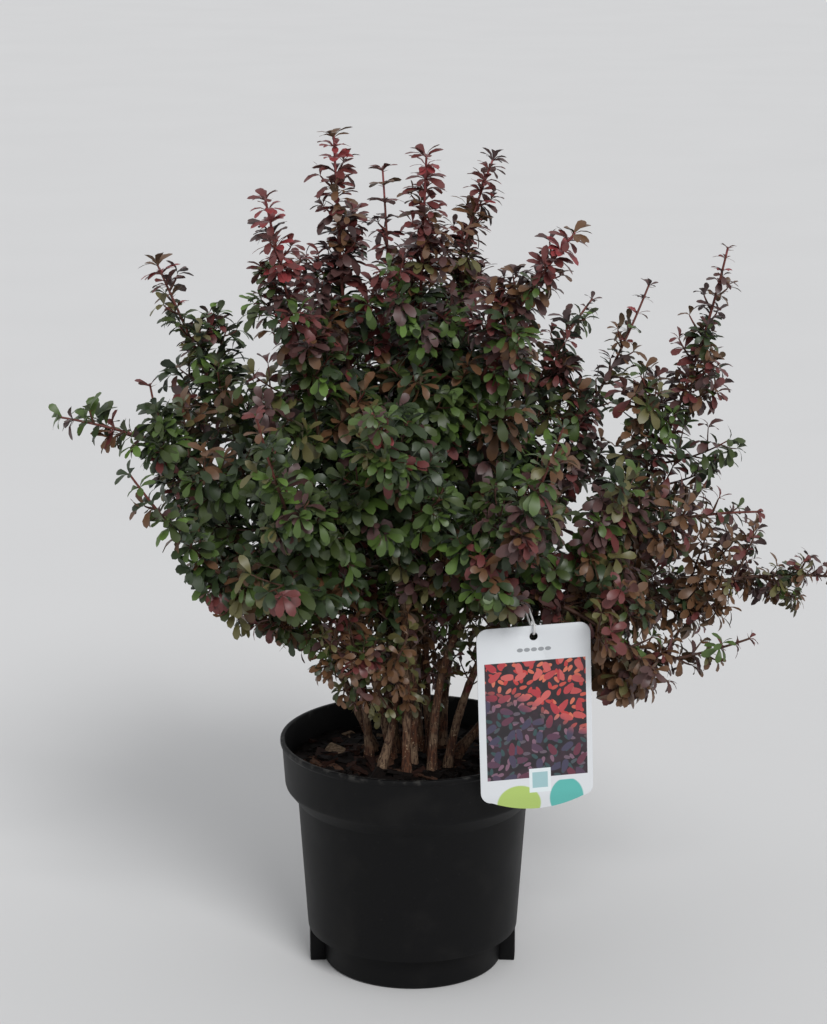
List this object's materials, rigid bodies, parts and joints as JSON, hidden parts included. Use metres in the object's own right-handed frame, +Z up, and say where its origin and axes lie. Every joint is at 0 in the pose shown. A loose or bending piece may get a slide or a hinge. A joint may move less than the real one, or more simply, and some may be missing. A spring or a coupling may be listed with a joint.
{
  "type": "potted purple barberry shrub",
  "caption": "Many-stemmed purple-leaved barberry shrub in a black nursery pot, with a picture label hung at the rim.",
  "frame": {"origin": "centre of the pot's flat underside", "axes": "+Z up, +X to the right in the front view, +Y to the back; the label faces -Y"},
  "size_m": [0.5413, 0.3673, 0.5701],
  "materials": {
    "pot_plastic": "matt black moulded plastic",
    "potting_soil": "moist bark and peat",
    "bark": "brown-grey bark",
    "leaf_purple": "satin dark purple leaves",
    "leaf_green": "satin dark green leaves",
    "leaf_olive": "satin olive-brown leaves",
    "label_print": "white card with a printed panel",
    "tie_plastic": "plain light plastic"
  },
  "bodies": {
    "root": {"pot": "pot_plastic", "soil": "potting_soil", "stem_top_left": "bark", "stem_top_front": "bark", "stem_top_right": "bark", "stem_high_left": "bark", "stem_high_right": "bark", "stem_shoulder_left": "bark", "stem_shoulder_right": "bark", "stem_far_left": "bark", "stem_far_right": "bark", "stem_long_right": "bark", "stem_label_side": "bark", "stem_low_left": "bark", "stem_front": "bark", "stem_back_right": "bark", "stem_back_left": "bark", "stem_back": "bark", "foliage_top_left": "leaf_purple", "foliage_top_front": "leaf_purple", "foliage_top_right": "leaf_purple", "foliage_high_left": "leaf_purple", "foliage_high_right": "leaf_purple", "foliage_shoulder_left": "leaf_purple", "foliage_shoulder_right": "leaf_purple", "foliage_far_left": "leaf_green", "foliage_far_right": "leaf_green", "foliage_long_right": "leaf_olive", "foliage_label_side": "leaf_olive", "foliage_low_left": "leaf_olive", "foliage_front": "leaf_green", "foliage_back_right": "leaf_green", "foliage_back_left": "leaf_green", "foliage_back": "leaf_green", "foliage_top_back": "leaf_purple", "foliage_upper_right": "leaf_purple", "foliage_front_right": "leaf_green", "foliage_front_left": "leaf_green", "foliage_mid_left": "leaf_green", "foliage_left_behind": "leaf_green", "foliage_lower_left": "leaf_olive", "foliage_right_behind": "leaf_green", "foliage_lower_right": "leaf_olive", "foliage_low_front": "leaf_olive", "foliage_back_low_right": "leaf_olive", "foliage_back_low_left": "leaf_olive", "label_card": "label_print", "label_tie": "tie_plastic"}
  },
  "joints": []
}
